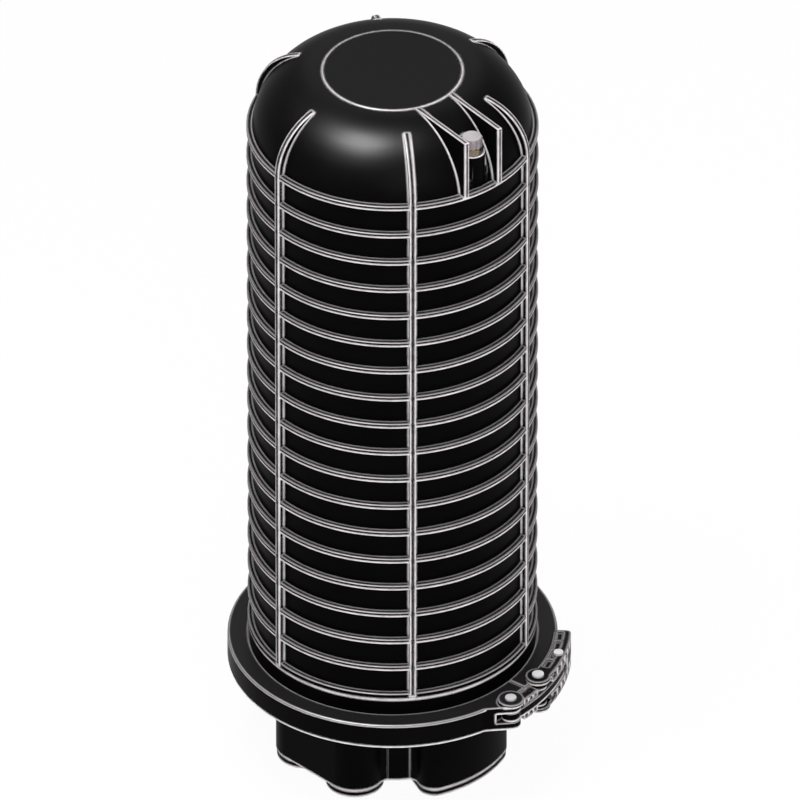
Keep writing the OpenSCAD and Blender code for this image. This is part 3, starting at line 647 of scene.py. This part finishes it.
class CLOSURE_OT_metals(bpy.types.Operator):
    """Finish the pins, screws, valve, stud and bracket"""

    bl_idname = "closure.metals"
    bl_label = "Metal Pieces"

    def execute(self, context):
        finish_nodes(turned_metal("pin_steel", shade(record_colour("pin_steel"), 0.78), 0.4, 0.22),
                     "catch_pin", "fulcrum_pin", "link_pin")
        finish_nodes(turned_metal("screw_zinc", record_colour("screw_steel"), 0.3),
                     "bracket_screws", "anchor_screws", "earth_nuts")
        finish_nodes(turned_metal("valve_brass", shade(record_colour("valve_brass"), 0.3)), "valve_body")
        finish_nodes(turned_metal("valve_nickel", record_colour("valve_nickel")), "valve_core")
        finish_nodes(turned_metal("cap_satin", (0.205, 0.175, 0.19), 0.45, 0.03), "valve_cap")
        finish_nodes(turned_metal("stud_brass", record_colour("stud_brass")), "earth_stud")
        finish_nodes(sheet_metal("bracket_sheet", record_colour("sheet_steel")), "tray_bracket")
        return {"FINISHED"}


class CLOSURE_OT_rubbers(bpy.types.Operator):
    """Finish the seal, the washer and the port plugs"""

    bl_idname = "closure.rubbers"
    bl_label = "Rubber Pieces"

    def execute(self, context):
        finish_nodes(rubber("seal_rubber", record_colour("seal_rubber")), "base_seal", "valve_washer")
        finish_nodes(rubber("plug_rubber", record_colour("plug_rubber")),
                     *[f"port_plug_{i}" for i in range(1, 5)])
        return {"FINISHED"}


class CLOSURE_OT_trays(bpy.types.Operator):
    """Finish the trays, cover, strap, basket, hinge block and cable anchors"""

    bl_idname = "closure.trays"
    bl_label = "Trays"

    def execute(self, context):
        pale = tray_plastic("tray_plastic", record_colour("tray_plastic"))
        finish_nodes(pale, *[f"splice_tray_{i}" for i in range(1, 5)], "slack_basket", "hinge_block",
                     *[f"cable_anchor_{i}" for i in range(1, 5)])
        finish_nodes(clear_plastic("cover_clear", record_colour("cover_plastic")), "tray_cover")
        finish_nodes(webbing("strap_webbing", record_colour("strap_webbing")), "tray_strap")
        return {"FINISHED"}


def rays_for_background(tree):
    """1 for camera, glossy and transmission rays, else 0."""
    path = tree.nodes.new("ShaderNodeLightPath")
    total = path.outputs["Is Camera Ray"]
    for name in ("Is Glossy Ray", "Is Transmission Ray"):
        either = tree.nodes.new("ShaderNodeMath")
        either.operation = "MAXIMUM"
        tree.links.new(total, either.inputs[0])
        tree.links.new(path.outputs[name], either.inputs[1])
        total = either.outputs["Value"]
    return total


def add_lamp(name, azimuth, elevation, distance, side, power, target):
    """An area lamp aimed at the target, placed by azimuth and elevation round it; the callers give the azimuth
    from the camera's.
    """
    back = direction(azimuth, elevation)
    place = [t + distance * b for t, b in zip(target, back)]
    bpy.ops.object.light_add(type="AREA", location=place)
    lamp = bpy.context.object
    lamp.name = name
    lamp.data.size = side
    lamp.data.energy = power
    lamp.rotation_euler = (math.pi / 2 - elevation, 0, azimuth)
    return lamp


def direction(azimuth, elevation):
    """Unit vector from the closure towards azimuth and elevation."""
    return (math.sin(azimuth) * math.cos(elevation), -math.cos(azimuth) * math.cos(elevation),
            math.sin(elevation))


class CLOSURE_OT_stage(bpy.types.Operator):
    """Make the floor, the lamps and the camera"""

    bl_idname = "closure.stage"
    bl_label = "Stage"

    def execute(self, context):
        s = context.scene.closure_stage
        scene = context.scene
        scene.view_settings.view_transform = "Standard"
        bpy.ops.object.select_all(action="DESELECT")

        bpy.ops.mesh.primitive_plane_add(size=s.floor_size, location=(0, 0, CAD_LOW.z))
        floor = context.object
        floor.name = "floor"
        material = bpy.data.materials.new("floor_white")
        material.use_nodes = True
        tree = material.node_tree
        shader = tree.nodes["Principled BSDF"]
        shader.inputs["Base Color"].default_value = (0.8, 0.8, 0.8, 1)
        shader.inputs["Roughness"].default_value = 0.9
        glow = tree.nodes.new("ShaderNodeEmission")
        glow.inputs["Strength"].default_value = 1
        share = tree.nodes.new("ShaderNodeMath")
        share.operation = "MULTIPLY"
        share.inputs[1].default_value = 0.95
        tree.links.new(rays_for_background(tree), share.inputs[0])
        mix = tree.nodes.new("ShaderNodeMixShader")
        tree.links.new(share.outputs["Value"], mix.inputs[0])
        tree.links.new(shader.outputs[0], mix.inputs[1])
        tree.links.new(glow.outputs[0], mix.inputs[2])
        tree.links.new(mix.outputs[0], tree.nodes["Material Output"].inputs["Surface"])
        floor.data.materials.append(material)

        world = bpy.data.worlds.new("white_studio")
        scene.world = world
        world.use_nodes = True
        tree = world.node_tree
        sky = tree.nodes["Background"]
        sky.inputs["Color"].default_value = (1, 1, 1, 1)
        tree.links.new(span(tree, rays_for_background(tree), s.ambient, 1), sky.inputs["Strength"])

        aim = (s.aim_side * math.cos(s.azimuth), s.aim_side * math.sin(s.azimuth), s.aim_height)
        key = add_lamp("key_lamp", s.azimuth - math.radians(51), math.radians(69), 1.6, 0.6, s.key_power, aim)
        key.visible_diffuse = False
        add_lamp("fill_lamp", s.azimuth + math.radians(12), math.radians(20), 1.8, 0.9, s.fill_power, aim)
        top = add_lamp("top_lamp", s.azimuth, math.radians(85), 1.8, 1.2, s.top_power, aim)
        top.visible_glossy = False
        back = add_lamp("back_lamp", s.azimuth + math.radians(180), math.radians(42), 2.2, 1.4, s.back_power, aim)
        back.visible_diffuse = False

        distance = s.field * s.lens / 36
        towards = direction(s.azimuth, s.elevation)
        place = [a + distance * t for a, t in zip(aim, towards)]
        bpy.ops.object.camera_add(location=place, rotation=(math.pi / 2 - s.elevation, 0, s.azimuth))
        camera = context.object
        camera.data.sensor_width = 36
        camera.data.lens = s.lens
        camera.data.clip_start = 0.1
        camera.data.clip_end = 4 * distance
        scene.camera = camera
        return {"FINISHED"}


class CLOSURE_PT_panel(bpy.types.Panel):
    """Lists the closure's pieces and settings"""

    bl_label = "Closure"
    bl_idname = "CLOSURE_PT_panel"
    bl_space_type = "VIEW_3D"
    bl_region_type = "UI"
    bl_category = "Closure"

    def draw(self, context):
        for operator in OPERATORS:
            self.layout.operator(operator.bl_idname)
        for settings in (context.scene.closure_moulding, context.scene.closure_stage):
            for name in settings.bl_rna.properties.keys():
                if name not in ("rna_type", "name"):
                    self.layout.prop(settings, name)


OPERATORS = (CLOSURE_OT_stage, CLOSURE_OT_dome, CLOSURE_OT_base, CLOSURE_OT_hoop, CLOSURE_OT_latch,
             CLOSURE_OT_metals, CLOSURE_OT_rubbers, CLOSURE_OT_trays)
CLASSES = (MouldingSettings, StageSettings, *OPERATORS, CLOSURE_PT_panel)


def register():
    for cls in CLASSES:
        bpy.utils.register_class(cls)
    bpy.types.Scene.closure_moulding = bpy.props.PointerProperty(type=MouldingSettings)
    bpy.types.Scene.closure_stage = bpy.props.PointerProperty(type=StageSettings)


def unregister():
    del bpy.types.Scene.closure_stage
    del bpy.types.Scene.closure_moulding
    for cls in reversed(CLASSES):
        bpy.utils.unregister_class(cls)


def main():
    register()
    for operator in OPERATORS:
        getattr(bpy.ops.closure, operator.bl_idname.split(".")[1])()


if __name__ == "__main__":
    main()
